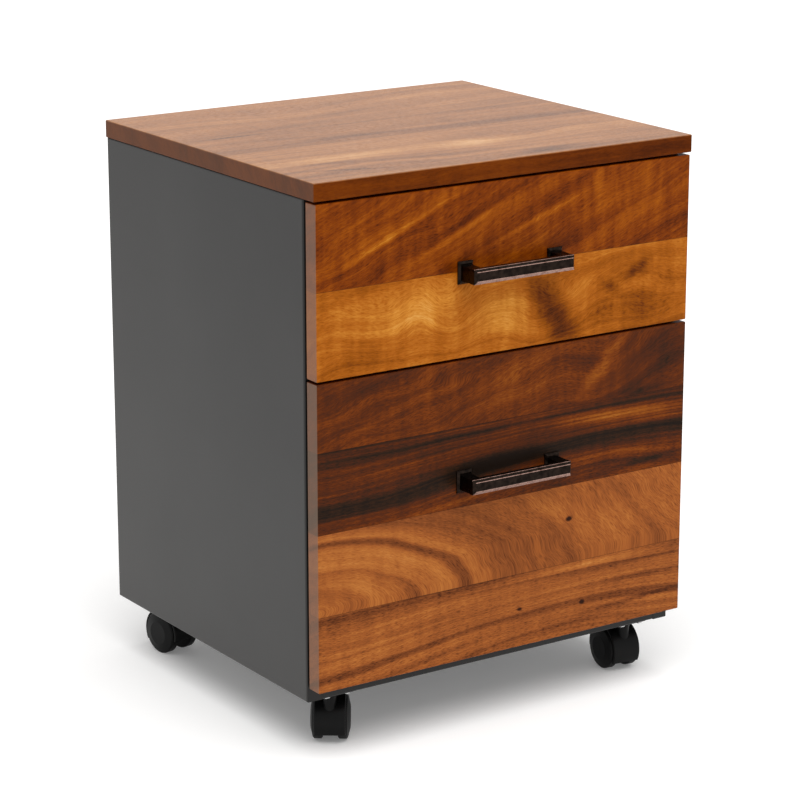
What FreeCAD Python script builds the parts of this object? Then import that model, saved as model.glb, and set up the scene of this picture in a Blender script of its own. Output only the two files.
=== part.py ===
import FreeCAD, Part
import math
import os

import Sketcher
from FreeCAD import Placement, Rotation, Vector

# A two-drawer filing pedestal on casters: a folded sheet-steel case with a solid wood top,
# two wood-fronted steel drawers on three-member ball slides, and four hooded twin-wheel casters.
# Frame: origin on the floor under the middle of the part, +Z up, +X to the viewer's right,
# the drawers open towards -Y. Lengths are in millimetres, angles in degrees.

SIZES = {
    # wood top
    "top_width": 400,
    "top_depth": 357,
    "top_thickness": 16,
    "top_overhang": 0.75,
    "board_easing": 1.0,
    # wood drawer fronts, laid over the case
    "front_width": 396.5,
    "front_thickness": 16,
    "upper_front_height": 151.5,
    "lower_front_height": 275.5,
    "front_reveal": 2.2,
    "front_standoff": 2.0,
    "front_lift": 13.4,
    # folded sheet-steel case
    "case_lift": 52,
    "case_sheet": 1.2,
    "case_bend": 1.8,
    "side_flange": 16,
    "back_flange": 12,
    "base_overlap": 3.6,
    "rail_depth": 40,
    "rail_drop": 12,
    "seam_gap": 0.1,
    # channels that space the drawer slides off the case sides
    "upright_width": 40,
    "upright_setback": 30,
    "return_clearance": 0.3,
    # three-member ball slides
    "slide_setback": 3,
    "slide_back_gap": 23.25,
    "slide_gap": 12.7,
    "slide_height": 45.5,
    "slide_sheet": 1.2,
    "slide_lip": 1.4,
    "outer_reach": 10,
    "middle_reach": 10.4,
    "ball_diameter": 3.7,
    "ball_clearance": 0.1,
    "ball_spacing": 40,
    "outer_ball_reach": 6,
    "inner_ball_reach": 7.2,
    "cage_length": 110,
    "cage_sheet": 0.6,
    "cage_lip": 0.4,
    "cage_gap": 0.4,
    # steel drawer trays
    "tray_sheet": 1.0,
    "tray_bend": 1.5,
    "tray_back_gap": 28.25,
    "tray_clearance": 2.5,
    "upper_tray_height": 106,
    "lower_tray_height": 246,
    "upper_tray_rise": 6,
    "upper_slide_rise": 45,
    "lower_slide_rise": 120,
    # rails for hanging files
    "file_rail_inset": 14.75,
    "file_rail_thickness": 2.5,
    "file_rail_height": 14,
    "file_rail_tab": 12,
    # cast pulls
    "pull_centres": 95.25,
    "pull_projection": 24,
    "pull_bar_height": 13.4,
    "pull_bar_depth": 7.5,
    "pull_bar_bevel": 3.5,
    "pull_post_width": 11,
    "pull_base_width": 15.5,
    "pull_base_height": 20,
    "pull_base_thickness": 3,
    "pull_base_bevel": 1.8,
    "lower_pull_drop": 109,
    # twin-wheel casters
    "caster_side_inset": 36,
    "caster_end_inset": 20,
    "caster_trail": 14,
    "caster_width": 35,
    "wheel_radius": 20,
    "wheel_easing": 1.2,
    "wheel_dome": 2.0,
    "wheel_cap_radius": 11,
    "wheel_web_gap": 1.1,
    "hub_radius": 6,
    "hub_gap": 0.3,
    "hub_cap": 1.7,
    "hood_gap": 1.0,
    "hood_thickness": 2.0,
    "hood_width": 28,
    "hood_easing": 1.2,
    "hood_front_level": 9.5,
    "hood_rear_level": 16,
    "hood_web": 11.5,
    "boss_radius": 6.4,
    "boss_foot_radius": 5,
    "swivel_gap": 0.3,
    "king_pin_radius": 3,
    "king_pin_length": 20,
    "king_pin_clearance": 0.06,
    "collar_radius": 7,
    "collar_height": 1.5,
    "axle_radius": 2.5,
    "axle_clearance": 0.05,
    "axle_seat_clearance": 0.02,
    "plate_width": 30,
    "plate_thickness": 2,
    "plate_hole_spacing": 21,
    # the way each caster trails at rest, as an angle from +X
    "front_left_heading": 54,
    "front_right_heading": 84,
    "rear_left_heading": -81,
    "rear_right_heading": -140,
    # fasteners and bumpers
    "screw_radius": 1.8,
    "screw_head_radius": 3.8,
    "screw_head_height": 2,
    "screw_bite": 11,
    "screw_clearance": 0.2,
    "pilot_clearance": 0.05,
    "top_screw_spacing": 90,
    "rail_screw_spacing": 220,
    "front_screw_inset": 45,
    "front_screw_edge": 18,
    "pull_screw_radius": 2,
    "pull_screw_bite": 11,
    "plate_screw_reach": 6,
    "bumper_radius": 4,
    "bumper_thickness": 1.8,
    "bumper_edge": 20,
}


class Size:
    """A length that carries its value and the spreadsheet expression that gives it."""

    def __init__(self, text, value):
        self.text = text
        self.value = value

    def __add__(self, other):
        other = size_of(other)
        return Size(f"({self.text} + {other.text})", self.value + other.value)

    def __sub__(self, other):
        other = size_of(other)
        return Size(f"({self.text} - {other.text})", self.value - other.value)

    def __mul__(self, other):
        other = size_of(other)
        return Size(f"({self.text} * {other.text})", self.value * other.value)

    def __truediv__(self, other):
        other = size_of(other)
        return Size(f"({self.text} / {other.text})", self.value / other.value)

    def __neg__(self):
        return Size(f"(-1 * {self.text})", -self.value)

    __rmul__ = __mul__


def size_of(number):
    return number if isinstance(number, Size) else Size(repr(float(number)), float(number))


class Dimensions:
    """The spreadsheet of driving dimensions, each one read as a Size."""

    def __init__(self, document, sizes):
        self.sheet = document.addObject("Spreadsheet::Sheet", "dims")
        for row, (alias, number) in enumerate(sizes.items(), start=1):
            self.sheet.set(f"A{row}", alias)
            self.sheet.set(f"B{row}", str(number))
            self.sheet.setAlias(f"B{row}", alias)
        document.recompute()

    def __getattr__(self, alias):
        return Size(f"dims.{alias}", float(self.sheet.get(alias)))


doc = FreeCAD.newDocument("filing_pedestal")
dim = Dimensions(doc, SIZES)
nodes = []

LEFT, RIGHT = -1, 1


# Drawing and feature helpers

def bind(item, prop, size):
    item.setExpression(prop, size_of(size).text)


def node(item):
    nodes.append(item)
    return item


def new_body(name):
    body = doc.addObject("PartDesign::Body", name)
    body.Label = name
    return body


def sketch_on(body, role, at=0):
    """A sketch on one of the body's origin planes, moved to a level along that plane's axis."""
    plane = next(p for p in body.Origin.OriginFeatures if p.Role == role)
    sketch = body.newObject("Sketcher::SketchObject", f"{body.Name}_sketch")
    sketch.AttachmentSupport = [(plane, "")]
    sketch.MapMode = "FlatFace"
    # the normal of the XZ plane points to -Y
    bind(sketch, "AttachmentOffset.Base.z", -size_of(at) if role == "XZ_Plane" else at)
    return sketch


def limit(sketch, kind, *elements, size):
    index = sketch.addConstraint(Sketcher.Constraint(kind, *elements, size.value))
    sketch.setExpression(f"Constraints[{index}]", size.text)


def fix_point(sketch, geometry, vertex, point):
    limit(sketch, "DistanceX", -1, 1, geometry, vertex, size=point[0])
    limit(sketch, "DistanceY", -1, 1, geometry, vertex, size=point[1])


def polygon(sketch, corners):
    corners = [(size_of(across), size_of(up)) for across, up in corners]
    spots = [Vector(across.value, up.value, 0) for across, up in corners]
    first = sketch.GeometryCount
    count = len(corners)
    for i in range(count):
        sketch.addGeometry(Part.LineSegment(spots[i], spots[(i + 1) % count]), False)
    for i in range(count):
        sketch.addConstraint(Sketcher.Constraint("Coincident", first + i, 2, first + (i + 1) % count, 1))
    for i in range(count):
        fix_point(sketch, first + i, 1, corners[i])


def rectangle(sketch, left, right, bottom, top):
    polygon(sketch, [(left, bottom), (right, bottom), (right, top), (left, top)])


def circle(sketch, centre, radius):
    centre = (size_of(centre[0]), size_of(centre[1]))
    round_line = Part.Circle(Vector(centre[0].value, centre[1].value, 0), Vector(0, 0, 1), radius.value)
    geometry = sketch.addGeometry(round_line, False)
    fix_point(sketch, geometry, 3, centre)
    limit(sketch, "Radius", geometry, size=radius)


def arc_over(sketch, centre, radius, right_level, left_level):
    """An arc over the top of its centre, from a level on its right side to one on its left side."""
    rise_right = (right_level.value - centre[1].value) / radius.value
    rise_left = (left_level.value - centre[1].value) / radius.value
    start, end = math.asin(rise_right), math.pi - math.asin(rise_left)
    middle = Vector(centre[0].value, centre[1].value, 0)
    whole = Part.Circle(middle, Vector(0, 0, 1), radius.value)
    geometry = sketch.addGeometry(Part.ArcOfCircle(whole, start, end), False)
    fix_point(sketch, geometry, 3, centre)
    limit(sketch, "Radius", geometry, size=radius)
    limit(sketch, "DistanceY", -1, 1, geometry, 1, size=right_level)
    limit(sketch, "DistanceY", -1, 1, geometry, 2, size=left_level)
    return geometry


def join(sketch, first, first_end, second, second_end):
    """A straight line between the ends of two curves of a sketch."""
    start = sketch.getPoint(first, first_end)
    end = sketch.getPoint(second, second_end)
    line = sketch.addGeometry(Part.LineSegment(start, end), False)
    sketch.addConstraint(Sketcher.Constraint("Coincident", line, 1, first, first_end))
    sketch.addConstraint(Sketcher.Constraint("Coincident", line, 2, second, second_end))


def pad(body, sketch, length, symmetric=False, backwards=False):
    feature = body.newObject("PartDesign::Pad", f"{body.Name}_pad")
    feature.Profile = sketch
    feature.SideType = "Symmetric" if symmetric else "One side"
    feature.Reversed = backwards
    bind(feature, "Length", length)
    return feature


def pocket(body, sketch, depth, symmetric=False, backwards=False):
    """A cut, which has to take something away."""
    doc.recompute()
    before = body.Shape.Volume
    feature = body.newObject("PartDesign::Pocket", f"{body.Name}_pocket")
    feature.Profile = sketch
    feature.SideType = "Symmetric" if symmetric else "One side"
    feature.Reversed = backwards
    bind(feature, "Length", depth)
    doc.recompute()
    if body.Shape.Volume >= before:
        raise RuntimeError(f"{body.Label}: a pocket cuts nothing")
    return feature


def block(body, x_range, y_range, z_range):
    sketch = sketch_on(body, "XY_Plane", z_range[0])
    rectangle(sketch, *x_range, *y_range)
    return pad(body, sketch, size_of(z_range[1]) - z_range[0])


def outermost_face(shape, direction):
    """The index of the flat face that lies furthest out in a direction."""
    return max(range(len(shape.Faces)), key=lambda i: shape.Faces[i].CenterOfMass.dot(direction))


def rim_edges(shape, direction):
    """The names of the edges round the face that lies furthest out in a direction."""
    face = shape.Faces[outermost_face(shape, direction)]
    return [f"Edge{i}" for i, edge in enumerate(shape.Edges, start=1)
            if any(edge.isSame(other) for other in face.Edges)]


def edges_at_y(shape, level):
    """The names of the edges that lie in a plane across Y."""
    return [f"Edge{i}" for i, edge in enumerate(shape.Edges, start=1)
            if all(abs(vertex.Y - level.value) < 1e-6 for vertex in edge.Vertexes)]


def dress(body, kind, edges, size):
    feature = body.newObject(f"PartDesign::{kind}", f"{body.Name}_{kind.lower()}")
    feature.Base = (feature.BaseFeature, edges)
    bind(feature, "Radius" if kind == "Fillet" else "Size", size)
    return feature


def hollow(body, towards, wall):
    """Shells the body to a wall, open on one side."""
    doc.recompute()
    base = body.Tip
    feature = body.newObject("PartDesign::Thickness", f"{body.Name}_shell")
    feature.Base = (base, [f"Face{outermost_face(base.Shape, towards) + 1}"])
    feature.Reversed = True
    bind(feature, "Value", wall)
    doc.recompute()
    return feature


def folded_pan(name, x_range, y_range, z_range, opening, sheet, bend):
    """A sheet folded up on four sides, with a bend round its closed face."""
    body = new_body(name)
    block(body, x_range, y_range, z_range)
    hollow(body, opening, sheet)
    dress(body, "Fillet", rim_edges(body.Shape, -opening), bend)
    doc.recompute()
    return body


def folded_trough(name, half_width, y_range, z_range, sheet, bend):
    """A sheet folded up on two sides and open at both ends."""
    inside = half_width - sheet
    inside_z = z_range[0] + sheet
    right = [(half_width, z_range[0]), (half_width, z_range[1]), (inside, z_range[1]), (inside, inside_z)]
    left = [(-across, up) for across, up in reversed(right)]
    body = new_body(name)
    sketch = sketch_on(body, "XZ_Plane", y_range[0])
    polygon(sketch, right + left)
    pad(body, sketch, y_range[1] - y_range[0], backwards=True)
    doc.recompute()
    end_edges = edges_at_y(body.Shape, y_range[0]) + edges_at_y(body.Shape, y_range[1])
    folds = [edge for edge in rim_edges(body.Shape, Vector(0, 0, -1)) if edge not in end_edges]
    dress(body, "Fillet", folds, bend)
    return body


def drill(body, role, at, centres, radius, depth, upwards):
    """Round holes from a level of a plane, along its axis or against it."""
    sketch = sketch_on(body, role, at)
    for centre in centres:
        circle(sketch, centre, radius)
    along_normal = upwards if role != "XZ_Plane" else not upwards
    pocket(body, sketch, depth, backwards=along_normal)


def move(item, x, y, z, rotation=Rotation()):
    item.Placement = Placement(Vector(), rotation)
    for axis, size in zip("xyz", (x, y, z)):
        bind(item, f"Placement.Base.{axis}", size)


def cylinder(radius, length, spot, rotation=Rotation()):
    item = doc.addObject("Part::Cylinder", "cylinder")
    bind(item, "Radius", radius)
    bind(item, "Height", length)
    move(item, *spot, rotation)
    return item


def group(name, items):
    item = doc.addObject("Part::Compound", name)
    item.Label = name
    item.Links = items
    return node(item)


def screw(seat, rotation, radius, reach):
    """A pan-head screw whose head sits on a seat; rotation turns +Z to the way it is driven."""
    driven = rotation.multVec(Vector(0, 0, 1))
    head_spot = [place - dim.screw_head_height * part for place, part in zip(seat, driven)]
    item = doc.addObject("Part::Fuse", "screw")
    item.Base = cylinder(dim.screw_head_radius, dim.screw_head_height, head_spot, rotation)
    item.Tool = cylinder(radius, reach, seat, rotation)
    return item


UPWARDS = Rotation()
FORWARDS = Rotation(Vector(1, 0, 0), 90)


# Levels and planes that the pieces share

face_y = (dim.pull_projection - dim.top_depth) / 2
front_back_y = face_y + dim.front_thickness
case_front_y = front_back_y + dim.front_standoff
case_back_y = face_y + dim.top_depth - dim.top_overhang
case_half = dim.top_width / 2 - dim.top_overhang

case_floor_z = dim.case_lift
base_wall = dim.front_lift + dim.base_overlap
lower_front_z = case_floor_z + dim.front_lift
upper_front_z = lower_front_z + dim.lower_front_height + dim.front_reveal
case_top_z = upper_front_z + dim.upper_front_height + dim.front_reveal

runner_half = case_half - dim.side_flange - dim.return_clearance
inner_half = runner_half - dim.seam_gap
tray_half = runner_half - dim.slide_gap
back_panel_y = case_back_y - dim.back_flange
slide_start_y = case_front_y + dim.slide_setback
slide_end_y = back_panel_y - dim.slide_back_gap
tray_end_y = back_panel_y - dim.tray_back_gap

lower_tray_z = case_floor_z + base_wall + dim.tray_clearance
upper_tray_z = upper_front_z + dim.upper_tray_rise
lower_slide_z = lower_tray_z + dim.lower_slide_rise
upper_slide_z = upper_tray_z + dim.upper_slide_rise

top_screw_x = case_half - dim.side_flange / 2
top_screw_middle_y = (case_front_y + case_back_y) / 2
top_screw_ys = [top_screw_middle_y + dim.top_screw_spacing / 2 * side for side in (-1, 1)]
rail_screw_spots = [(dim.rail_screw_spacing / 2 * side, case_front_y + dim.rail_depth / 2) for side in (-1, 1)]

caster_x = case_half - dim.caster_side_inset
caster_front_y = case_front_y + dim.caster_end_inset
caster_rear_y = case_back_y - dim.caster_end_inset
caster_spots = {
    "front_left": (-caster_x, caster_front_y, dim.front_left_heading),
    "front_right": (caster_x, caster_front_y, dim.front_right_heading),
    "rear_left": (-caster_x, caster_rear_y, dim.rear_left_heading),
    "rear_right": (caster_x, caster_rear_y, dim.rear_right_heading),
}
plate_bottom_z = case_floor_z - dim.plate_thickness
plate_hole_spots = [(x + dim.plate_hole_spacing / 2 * across, y + dim.plate_hole_spacing / 2 * along)
                    for x, y, heading in caster_spots.values() for across in (-1, 1) for along in (-1, 1)]


# Case

def side_panel(name, hand):
    outside, inside = case_half * hand, (case_half - dim.side_flange) * hand
    body = folded_pan(name, (outside, inside), (case_front_y, case_back_y), (case_floor_z, case_top_z),
                      Vector(-hand, 0, 0), dim.case_sheet, dim.case_bend)
    drill(body, "XY_Plane", case_top_z, [(top_screw_x * hand, y) for y in top_screw_ys],
          dim.screw_radius + dim.screw_clearance, dim.case_sheet, upwards=False)
    return node(body)


def case_panels():
    side_panel("left_side_panel", LEFT)
    side_panel("right_side_panel", RIGHT)
    between = (-inner_half, inner_half)
    node(folded_pan("back_panel", between, (back_panel_y, case_back_y),
                    (case_floor_z + base_wall + dim.seam_gap, case_top_z),
                    Vector(0, -1, 0), dim.case_sheet, dim.case_bend))
    base = node(folded_pan("base_pan", between, (case_front_y, case_back_y),
                           (case_floor_z, case_floor_z + base_wall),
                           Vector(0, 0, 1), dim.case_sheet, dim.case_bend))
    drill(base, "XY_Plane", case_floor_z, plate_hole_spots,
          dim.screw_radius + dim.screw_clearance, dim.case_sheet, upwards=True)
    rail = node(folded_pan("top_front_rail", between, (case_front_y, case_front_y + dim.rail_depth),
                           (case_top_z - dim.rail_drop, case_top_z),
                           Vector(0, 0, -1), dim.case_sheet, dim.case_bend))
    drill(rail, "XY_Plane", case_top_z, rail_screw_spots,
          dim.screw_radius + dim.screw_clearance, dim.case_sheet, upwards=False)


def runner_uprights(name, hand):
    """Two channels on edge against a case side, which carry the slides clear of the front return."""
    face, foot = runner_half * hand, (case_half - dim.case_sheet - dim.seam_gap) * hand
    inside = (runner_half + dim.case_sheet) * hand
    bottom = case_floor_z + dim.case_sheet + dim.seam_gap
    height = case_top_z - dim.case_sheet - dim.seam_gap - bottom
    starts = (slide_start_y + dim.upright_setback, slide_end_y - dim.upright_setback - dim.upright_width)
    channels = []
    for start in starts:
        end = start + dim.upright_width
        body = new_body(f"{name}_channel")
        sketch = sketch_on(body, "XY_Plane", bottom)
        polygon(sketch, [(face, start), (face, end), (foot, end), (foot, end - dim.case_sheet),
                         (inside, end - dim.case_sheet), (inside, start + dim.case_sheet),
                         (foot, start + dim.case_sheet), (foot, start)])
        pad(body, sketch, height)
        channels.append(body)
    return group(name, channels)


def wood_board(name, x_range, y_range, z_range):
    """A board with every edge eased."""
    body = new_body(name)
    feature = block(body, x_range, y_range, z_range)
    doc.recompute()
    dress(body, "Fillet", [f"Edge{i}" for i in range(1, len(feature.Shape.Edges) + 1)], dim.board_easing)
    doc.recompute()
    return node(body)


def wood_top():
    board = wood_board("wood_top", (-dim.top_width / 2, dim.top_width / 2), (face_y, face_y + dim.top_depth),
                       (case_top_z, case_top_z + dim.top_thickness))
    side_spots = [(top_screw_x * hand, y) for hand in (LEFT, RIGHT) for y in top_screw_ys]
    spots = side_spots + rail_screw_spots
    drill(board, "XY_Plane", case_top_z, spots, dim.screw_radius + dim.pilot_clearance, dim.screw_bite,
          upwards=True)
    seat_z = case_top_z - dim.case_sheet
    group("top_screws", [screw((x, y, seat_z), UPWARDS, dim.screw_radius, dim.screw_bite) for x, y in spots])


def front_bumpers():
    """Soft pads on the case's front returns, just short of the drawer fronts."""
    levels = []
    for bottom, height in ((lower_front_z, dim.lower_front_height), (upper_front_z, dim.upper_front_height)):
        levels += [bottom + dim.bumper_edge, bottom + height - dim.bumper_edge]
    across = case_half - dim.side_flange / 2
    group("front_bumpers", [cylinder(dim.bumper_radius, dim.bumper_thickness, (across * hand, case_front_y, z),
                                     FORWARDS) for hand in (LEFT, RIGHT) for z in levels])


# Ball slides. A section is drawn from the case side, reach 0, to the drawer side, reach slide_gap.

ball_room = dim.ball_diameter + dim.ball_clearance * 2
outer_half_height = dim.slide_height / 2
middle_half_height = outer_half_height - dim.slide_sheet - ball_room
inner_half_height = middle_half_height - dim.slide_sheet - ball_room
outer_row = middle_half_height + ball_room / 2
inner_row = inner_half_height + ball_room / 2
outer_cage_back = dim.slide_sheet + dim.cage_gap
middle_back = outer_cage_back + dim.cage_sheet + dim.cage_gap
inner_cage_back = middle_back + dim.slide_sheet + dim.cage_gap
inner_tip = inner_cage_back + dim.cage_sheet + dim.cage_gap
cage_hole_radius = dim.ball_diameter / 2 + dim.ball_clearance


def channel(name, hand, level, y_range, web, tip, half_height, sheet, lip):
    """A lipped channel: its web at one reach, its two flanges out to another."""
    inward = sheet if tip.value > web.value else -sheet
    upper = [(web, half_height), (tip, half_height), (tip, half_height - sheet - lip),
             (tip - inward, half_height - sheet - lip), (tip - inward, half_height - sheet),
             (web + inward, half_height - sheet)]
    lower = [(reach, -height) for reach, height in reversed(upper)]
    body = new_body(name)
    sketch = sketch_on(body, "XZ_Plane", y_range[0])
    polygon(sketch, [((runner_half - reach) * hand, level + height) for reach, height in upper + lower])
    pad(body, sketch, y_range[1] - y_range[0], backwards=True)
    return body


def ball_cage(name, hand, level, web, ball_reach, row):
    """A thin retainer with two rows of balls in its flanges; gives the retainer and the balls."""
    middle_y = (slide_start_y + slide_end_y) / 2
    y_range = (middle_y - dim.cage_length / 2, middle_y + dim.cage_length / 2)
    tip = ball_reach + cage_hole_radius + dim.cage_sheet + dim.ball_clearance
    cage = channel(name, hand, level, y_range, web, tip, row + dim.cage_sheet / 2, dim.cage_sheet, dim.cage_lip)
    across = (runner_half - ball_reach) * hand
    places = [middle_y + dim.ball_spacing * step for step in (-1, 0, 1)]
    sketch = sketch_on(cage, "XY_Plane", level)
    for y in places:
        circle(sketch, (across, y), cage_hole_radius)
    pocket(cage, sketch, dim.slide_height, symmetric=True)
    balls = []
    for y in places:
        for z in (level - row, level + row):
            ball = doc.addObject("Part::Sphere", "ball")
            bind(ball, "Radius", dim.ball_diameter / 2)
            move(ball, across, y, z)
            balls.append(ball)
    return [cage] + balls


def slide_pair(drawer, level):
    y_range = (slide_start_y, slide_end_y)
    for side, hand in (("left", LEFT), ("right", RIGHT)):
        name = f"{drawer}_{side}_slide"
        node(channel(f"{name}_outer", hand, level, y_range, size_of(0), dim.outer_reach, outer_half_height,
                     dim.slide_sheet, dim.slide_lip))
        node(channel(f"{name}_middle", hand, level, y_range, middle_back, dim.middle_reach, middle_half_height,
                     dim.slide_sheet, dim.slide_lip))
        node(channel(f"{name}_inner", hand, level, y_range, dim.slide_gap, inner_tip, inner_half_height,
                     dim.slide_sheet, dim.slide_lip))
    for ring, web, reach, row in (("outer", outer_cage_back, dim.outer_ball_reach, outer_row),
                                  ("inner", inner_cage_back, dim.inner_ball_reach, inner_row)):
        name = f"{drawer}_{ring}_ball_cages"
        pieces = ball_cage(f"{name}_left", LEFT, level, web, reach, row)
        pieces += ball_cage(f"{name}_right", RIGHT, level, web, reach, row)
        group(name, pieces)


# Drawers

def pull(name, middle_z):
    """A bevelled bar on two square posts with bevelled feet, cast in one."""
    body = new_body(name)
    half_span = dim.pull_centres / 2
    half_post = dim.pull_post_width / 2
    half_width = dim.pull_base_width / 2
    half_foot = dim.pull_base_height / 2
    half_height = dim.pull_bar_height / 2
    middles = [half_span * side for side in (-1, 1)]

    feet = sketch_on(body, "XZ_Plane", face_y)
    for x in middles:
        rectangle(feet, x - half_width, x + half_width, middle_z - half_foot, middle_z + half_foot)
    pad(body, feet, dim.pull_base_thickness)
    doc.recompute()
    dress(body, "Chamfer", edges_at_y(body.Shape, face_y - dim.pull_base_thickness), dim.pull_base_bevel)

    posts = sketch_on(body, "XZ_Plane", face_y)
    for x in middles:
        rectangle(posts, x - half_post, x + half_post, middle_z - half_height, middle_z + half_height)
    pad(body, posts, dim.pull_projection - dim.pull_bar_depth)

    bar_half = half_span + half_post
    bar = sketch_on(body, "XZ_Plane", face_y - dim.pull_projection + dim.pull_bar_depth)
    rectangle(bar, -bar_half, bar_half, middle_z - half_height, middle_z + half_height)
    pad(body, bar, dim.pull_bar_depth)
    doc.recompute()
    dress(body, "Chamfer", rim_edges(body.Shape, Vector(0, -1, 0)), dim.pull_bar_bevel)

    drill(body, "XZ_Plane", face_y, [(x, middle_z) for x in middles],
          dim.pull_screw_radius + dim.pilot_clearance, dim.pull_screw_bite, upwards=False)
    return node(body)


def drawer(name, front_z, front_height, tray_z, tray_height, pull_z):
    front = wood_board(f"{name}_drawer_front", (-dim.front_width / 2, dim.front_width / 2),
                       (face_y, front_back_y), (front_z, front_z + front_height))
    tray_top_z = tray_z + tray_height
    node(folded_trough(f"{name}_drawer_tray", tray_half, (front_back_y, tray_end_y), (tray_z, tray_top_z),
                       dim.tray_sheet, dim.tray_bend))
    end_half = tray_half - dim.tray_sheet - dim.seam_gap
    tray_front = new_body(f"{name}_tray_front")
    block(tray_front, (-end_half, end_half), (front_back_y, front_back_y + dim.tray_sheet),
          (tray_z + dim.tray_sheet, tray_top_z))
    tray_back = new_body(f"{name}_tray_back")
    block(tray_back, (-end_half, end_half), (tray_end_y - dim.tray_sheet, tray_end_y),
          (tray_z + dim.tray_sheet, tray_top_z))
    group(f"{name}_tray_ends", [tray_front, tray_back])
    pull(f"{name}_pull", pull_z)

    front_screw_x = tray_half - dim.front_screw_inset
    levels = (tray_z + dim.front_screw_edge, tray_top_z - dim.front_screw_edge)
    front_spots = [(front_screw_x * side, z) for side in (-1, 1) for z in levels]
    pull_spots = [(dim.pull_centres / 2 * side, pull_z) for side in (-1, 1)]
    seat_y = front_back_y + dim.tray_sheet
    pull_reach = dim.tray_sheet + dim.front_thickness + dim.pull_screw_bite

    drill(front, "XZ_Plane", front_back_y, front_spots, dim.screw_radius + dim.pilot_clearance,
          dim.screw_bite, upwards=False)
    drill(front, "XZ_Plane", front_back_y, pull_spots, dim.pull_screw_radius + dim.screw_clearance,
          dim.front_thickness, upwards=False)
    drill(tray_front, "XZ_Plane", front_back_y, front_spots, dim.screw_radius + dim.screw_clearance,
          dim.tray_sheet, upwards=True)
    drill(tray_front, "XZ_Plane", front_back_y, pull_spots, dim.pull_screw_radius + dim.screw_clearance,
          dim.tray_sheet, upwards=True)
    group(f"{name}_front_screws", [screw((x, seat_y, z), FORWARDS, dim.screw_radius, dim.screw_bite)
                                   for x, z in front_spots])
    group(f"{name}_pull_screws", [screw((x, seat_y, z), FORWARDS, dim.pull_screw_radius, pull_reach)
                                  for x, z in pull_spots])


def file_rail(name, hand):
    """A flat bar along the lower drawer, with a tab bent out at each end onto the tray."""
    start = front_back_y + dim.tray_sheet
    end = tray_end_y - dim.tray_sheet
    middle = tray_half - dim.file_rail_inset
    inside = (middle - dim.file_rail_thickness / 2) * hand
    outside = (middle + dim.file_rail_thickness / 2) * hand
    tab = outside + (dim.file_rail_tab - dim.file_rail_thickness) * hand
    body = new_body(name)
    sketch = sketch_on(body, "XY_Plane", lower_tray_z + dim.lower_tray_height - dim.file_rail_height)
    polygon(sketch, [(inside, start), (tab, start), (tab, start + dim.file_rail_thickness),
                     (outside, start + dim.file_rail_thickness), (outside, end - dim.file_rail_thickness),
                     (tab, end - dim.file_rail_thickness), (tab, end), (inside, end)])
    pad(body, sketch, dim.file_rail_height)
    return node(body)


# Casters. Each is drawn with its stem on the Z axis, trailing towards +X, then turned and moved.

axle_z = dim.wheel_radius
hood_inside = dim.wheel_radius + dim.hood_gap
hood_outside = hood_inside + dim.hood_thickness
boss_top_z = plate_bottom_z - dim.collar_height - dim.swivel_gap
king_pin_end_z = boss_top_z - dim.king_pin_length
wheel_inside = dim.hood_web / 2 + dim.wheel_web_gap
hub_inside = dim.hood_web / 2 + dim.hub_gap
wheel_outside = dim.caster_width / 2
axle_end = wheel_outside - dim.hub_cap


def place_caster_piece(body, spot):
    x, y, heading = spot
    move(body, x, y, 0, Rotation(Vector(0, 0, 1), heading.value))
    bind(body, "Placement.Rotation.Angle", heading)
    return node(body)


def caster_hood(name):
    """A fender over both wheels, the web between them, and the boss that turns on the king pin."""
    body = new_body(name)
    centre = (dim.caster_trail, axle_z)
    fender = sketch_on(body, "XZ_Plane")
    outer = arc_over(fender, centre, hood_outside, dim.hood_rear_level, dim.hood_front_level)
    inner = arc_over(fender, centre, hood_inside, dim.hood_rear_level, dim.hood_front_level)
    join(fender, outer, 1, inner, 1)
    join(fender, outer, 2, inner, 2)
    pad(body, fender, dim.hood_width, symmetric=True)
    doc.recompute()
    dress(body, "Fillet", fender_edges(body.Shape), dim.hood_easing)

    web = sketch_on(body, "XZ_Plane")
    web_arc = arc_over(web, centre, hood_inside + dim.hood_thickness / 2, dim.hood_rear_level, dim.hood_front_level)
    join(web, web_arc, 1, web_arc, 2)
    pad(body, web, dim.hood_web, symmetric=True)

    boss = sketch_on(body, "XZ_Plane")
    polygon(boss, [(0, axle_z), (dim.boss_foot_radius, axle_z), (dim.boss_radius, boss_top_z), (0, boss_top_z)])
    tapered = body.newObject("PartDesign::Revolution", f"{name}_boss")
    tapered.Profile = boss
    tapered.ReferenceAxis = (boss, ["V_Axis"])
    tapered.Angle = 360

    drill(body, "XY_Plane", boss_top_z, [(0, 0)], dim.king_pin_radius + dim.king_pin_clearance,
          dim.king_pin_length + dim.swivel_gap, upwards=False)
    bore = sketch_on(body, "XZ_Plane")
    circle(bore, centre, dim.axle_radius + dim.axle_seat_clearance)
    pocket(body, bore, dim.hood_width, symmetric=True)
    return body


def fender_edges(shape):
    """The two long outer edges of the fender."""
    return [f"Edge{i}" for i, edge in enumerate(shape.Edges, start=1)
            if isinstance(edge.Curve, Part.Circle) and abs(edge.Curve.Radius - hood_outside.value) < 0.01]


def revolved(name, profile):
    """A piece turned about the caster's axle, from corners given as reach along it and radius."""
    body = new_body(name)
    sketch = sketch_on(body, "YZ_Plane", dim.caster_trail)
    polygon(sketch, [(reach, axle_z + radius) for reach, radius in profile])
    line = Part.LineSegment(Vector(-1, axle_z.value, 0), Vector(1, axle_z.value, 0))
    axis = sketch.addGeometry(line, True)
    fix_point(sketch, axis, 1, (size_of(-1), axle_z))
    fix_point(sketch, axis, 2, (size_of(1), axle_z))
    feature = body.newObject("PartDesign::Revolution", f"{name}_turn")
    feature.Profile = sketch
    feature.ReferenceAxis = (sketch, ["Axis0"])
    feature.Angle = 360
    return body


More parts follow.
